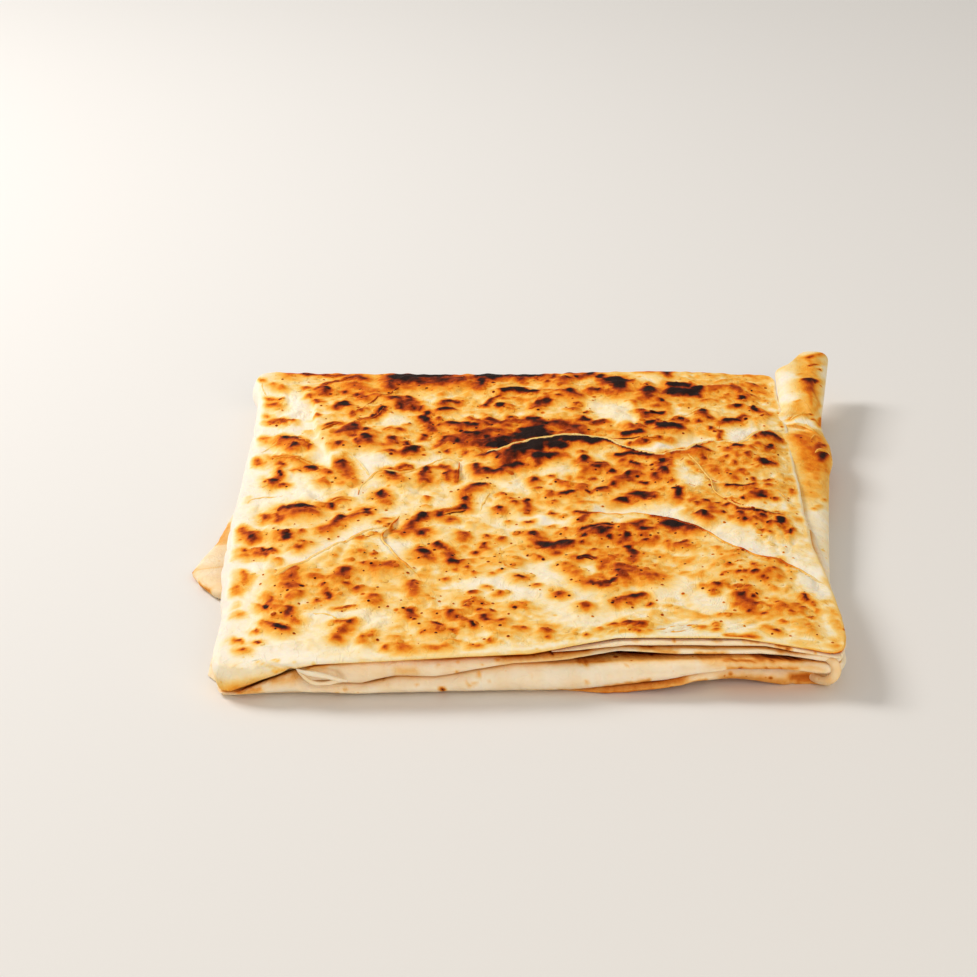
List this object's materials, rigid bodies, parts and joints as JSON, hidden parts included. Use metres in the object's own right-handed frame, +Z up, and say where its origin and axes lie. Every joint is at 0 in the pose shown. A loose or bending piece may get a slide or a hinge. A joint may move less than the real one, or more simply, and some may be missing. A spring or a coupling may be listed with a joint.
{
  "type": "gozleme",
  "caption": "Folded flat bread packet, griddled, with a stack of rounded folds along its edges, a side flap and a corner tab.",
  "frame": {"origin": "middle of the packet's box, on the surface it lies on", "axes": "+Z up out of the baked face, +Y along the length to the back edge, +X to the side with the flap"},
  "size_m": [0.2124, 0.2294, 0.019],
  "materials": {
    "baked_dough": "matt baked dough: ivory to golden, with toasted brown patches and charred spots"
  },
  "bodies": {
    "root": {"gozleme": "baked_dough"}
  },
  "joints": []
}
